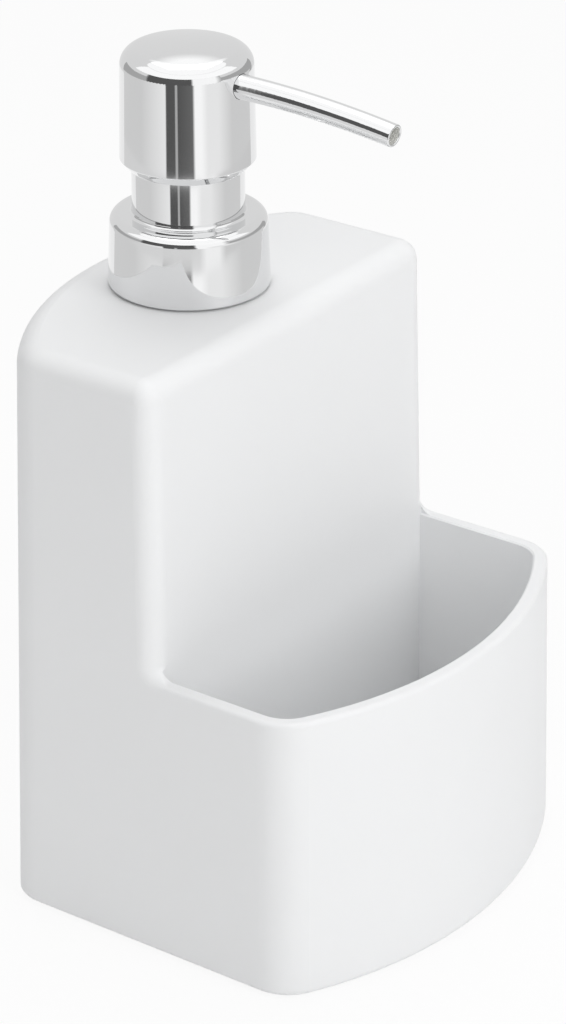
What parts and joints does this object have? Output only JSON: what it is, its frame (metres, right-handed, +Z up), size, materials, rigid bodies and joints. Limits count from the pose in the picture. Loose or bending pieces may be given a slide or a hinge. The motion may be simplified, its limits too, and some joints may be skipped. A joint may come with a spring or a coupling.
{
  "type": "soap pump caddy",
  "caption": "White moulded soap tank with an open sponge caddy in front and a screw-on chrome lotion pump with a spring-returned press head and swivelling spout.",
  "frame": {"origin": "middle of the footprint, on the surface that the feet stand on", "axes": "+Z up along the pump's axis, -Y towards the caddy and the spout, X across the width"},
  "size_m": [0.1, 0.1006, 0.1772],
  "materials": {
    "body_white": "soft matte white moulding",
    "base_white": "matte white moulding",
    "foot_rubber": "soft pale grey pads",
    "gasket": "soft washer",
    "pump_plastic": "natural polypropylene",
    "piston_seal": "soft polyethylene",
    "dip_tube": "translucent extruded tube",
    "chrome": "bright chrome plating",
    "steel": "bright stainless steel"
  },
  "bodies": {
    "body": {"body_shell": "body_white", "base_plate": "base_white", "foot_front_left": "foot_rubber", "foot_front_right": "foot_rubber", "foot_back_left": "foot_rubber", "foot_back_right": "foot_rubber"},
    "pump_frame": {"neck_gasket": "gasket", "pump_housing": "pump_plastic", "stem_guide": "pump_plastic", "ball_cage": "pump_plastic", "return_spring": "steel", "dip_tube": "dip_tube"},
    "collar": {"collar_shell": "chrome", "collar_nut": "pump_plastic"},
    "plunger": {"stem": "pump_plastic", "piston": "piston_seal"},
    "head": {"head_shell": "chrome", "head_core": "pump_plastic", "spout": "chrome"},
    "inlet_valve": {"inlet_ball": "steel"},
    "outlet_valve": {"outlet_ball": "steel"}
  },
  "joints": [
    {"name": "pump_lift", "type": "slide", "parent": "body", "child": "pump_frame", "axis": [0, 0, 1], "range_m": [0, 0.00526]},
    {"name": "collar_turn", "type": "hinge", "parent": "pump_frame", "child": "collar", "pos_m": [0, 0.02365, 0.133], "axis": [0, 0, 1], "range_deg": [0, 450]},
    {"name": "head_press", "type": "slide", "parent": "pump_frame", "child": "plunger", "axis": [0, 0, -1], "range_m": [0, 0.0095], "stiffness_N_per_m": 600, "springref_m": -0.015, "deforming": ["return_spring"]},
    {"name": "head_swivel", "type": "hinge", "parent": "plunger", "child": "head", "pos_m": [0, 0.02365, 0.165], "axis": [0, 0, 1], "continuous": true},
    {"name": "inlet_ball_lift", "type": "slide", "parent": "pump_frame", "child": "inlet_valve", "axis": [0, 0, 1], "range_m": [0, 0.0012]},
    {"name": "outlet_ball_lift", "type": "slide", "parent": "plunger", "child": "outlet_valve", "axis": [0, 0, 1], "range_m": [0, 0.0012]}
  ],
  "couplings": [
    {"joint": "pump_lift", "follows": "collar_turn", "m_per_rad": 0.00066845}
  ]
}
